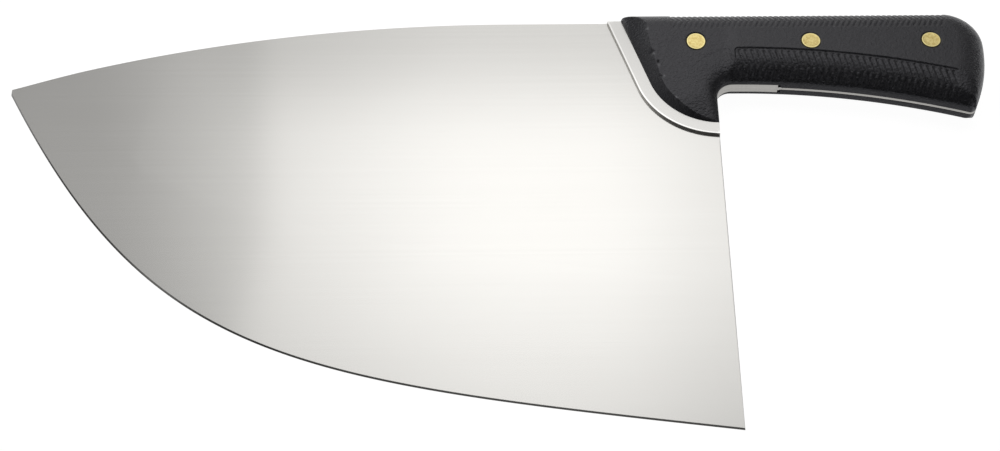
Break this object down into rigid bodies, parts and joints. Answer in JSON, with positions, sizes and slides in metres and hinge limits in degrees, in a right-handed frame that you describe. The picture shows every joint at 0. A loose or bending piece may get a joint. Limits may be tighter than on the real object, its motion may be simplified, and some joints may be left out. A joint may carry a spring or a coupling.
{
  "type": "fishmonger knife",
  "caption": "Broad full-tang fishmonger's knife with a deep curved blade, steel bolster plates and a riveted black textured grip, for portioning large fish.",
  "frame": {"origin": "centre of the bounding box's bottom face, under the right side of the grip, with the knife lying on its right side", "axes": "+X from the tip to the butt, +Y from the cutting edge to the spine, +Z out of the blade's left face"},
  "size_m": [0.416, 0.2, 0.022],
  "materials": {
    "blade_steel": "fine satin, brushed along the blade",
    "bolster_steel": "satin face with polished edges",
    "grip_plastic": "matt moulded plastic with fine grain",
    "rivet_brass": "ground flush, satin"
  },
  "bodies": {
    "root": {"blade": "blade_steel", "bolster_left": "bolster_steel", "bolster_right": "bolster_steel", "scale_left": "grip_plastic", "scale_right": "grip_plastic", "rivet_front_pin": "rivet_brass", "rivet_front_socket": "rivet_brass", "rivet_middle_pin": "rivet_brass", "rivet_middle_socket": "rivet_brass", "rivet_rear_pin": "rivet_brass", "rivet_rear_socket": "rivet_brass"}
  },
  "joints": []
}
